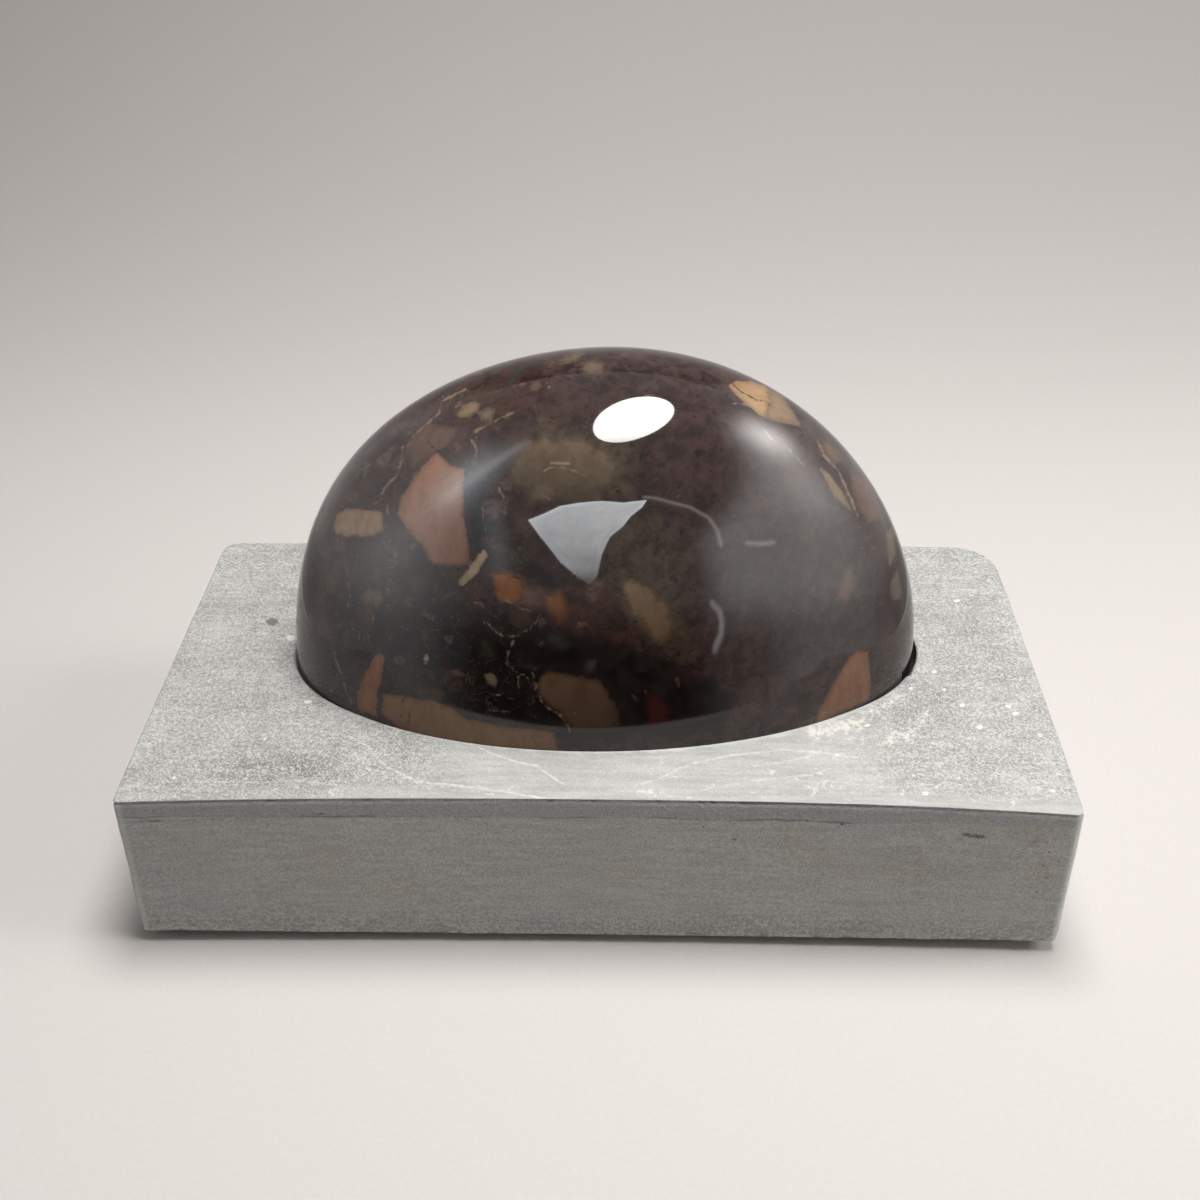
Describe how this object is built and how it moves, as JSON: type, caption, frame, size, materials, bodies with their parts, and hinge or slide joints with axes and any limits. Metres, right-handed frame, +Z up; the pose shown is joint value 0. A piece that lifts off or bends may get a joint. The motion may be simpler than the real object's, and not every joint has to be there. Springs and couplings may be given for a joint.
{
  "type": "puddingstone",
  "caption": "Polished half-egg dome of dark pebbly conglomerate seated in the socket of a rectangular cast cement display block.",
  "frame": {"origin": "middle of the block's plan, on the surface that it rests on", "axes": "+X along the block's length, +Y from the face that shows towards the back, +Z up"},
  "size_m": [0.2, 0.1029, 0.1145],
  "materials": {
    "polished_stone": "polished",
    "cast_cement": "matte"
  },
  "bodies": {
    "root": {"stone": "polished_stone", "cement_block": "cast_cement"}
  },
  "joints": []
}
